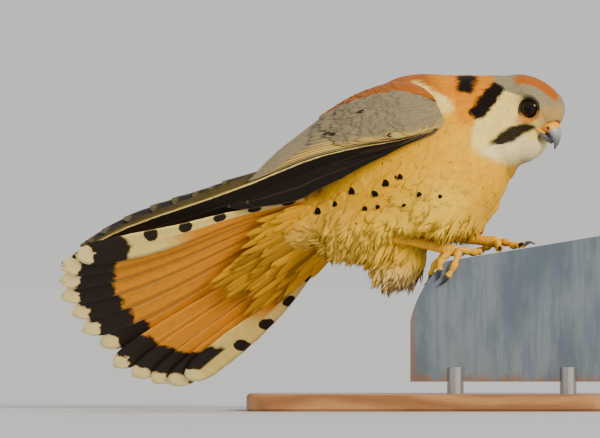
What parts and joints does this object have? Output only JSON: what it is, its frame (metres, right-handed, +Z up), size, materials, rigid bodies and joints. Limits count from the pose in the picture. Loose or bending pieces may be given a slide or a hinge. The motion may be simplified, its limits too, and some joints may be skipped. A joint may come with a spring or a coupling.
{
  "type": "american kestrel",
  "caption": "Life-size male American kestrel leaning forward on the corner of a short metal panel, wings drooped and tail fanned, held on a plain display stand.",
  "frame": {"origin": "middle of the stand base's flat underside", "axes": "+Z up; +X the way the bird's body faces, within 11 degrees; +Y towards the bird's left"},
  "size_m": [0.2665, 0.1147, 0.1621],
  "materials": {
    "body_plumage": "soft feathers, matte",
    "flight_feathers": "smooth feather vanes, low sheen",
    "bill": "polished horn",
    "eye": "wet gloss",
    "leg_skin": "scaled skin, satin",
    "claw": "horn, satin",
    "panel_metal": "weathered grey-blue sheet",
    "stand_wood": "oiled",
    "stand_steel": "satin"
  },
  "bodies": {
    "root": {"bill_lower": "bill", "bill_upper": "bill", "claw_left_1": "claw", "claw_left_2": "claw", "claw_left_3": "claw", "claw_left_4": "claw", "claw_right_1": "claw", "claw_right_2": "claw", "claw_right_3": "claw", "claw_right_4": "claw", "eye_left": "eye", "eye_right": "eye", "foot_left": "leg_skin", "foot_right": "leg_skin", "head": "body_plumage", "neck": "body_plumage", "perch_panel": "panel_metal", "rump": "body_plumage", "stand_base": "stand_wood", "stand_rod_1": "stand_steel", "stand_rod_2": "stand_steel", "tail": "flight_feathers", "tarsus_left": "leg_skin", "tarsus_right": "leg_skin", "thigh_left": "body_plumage", "thigh_right": "body_plumage", "torso": "body_plumage", "wing_left": "flight_feathers", "wing_right": "flight_feathers"}
  },
  "joints": []
}
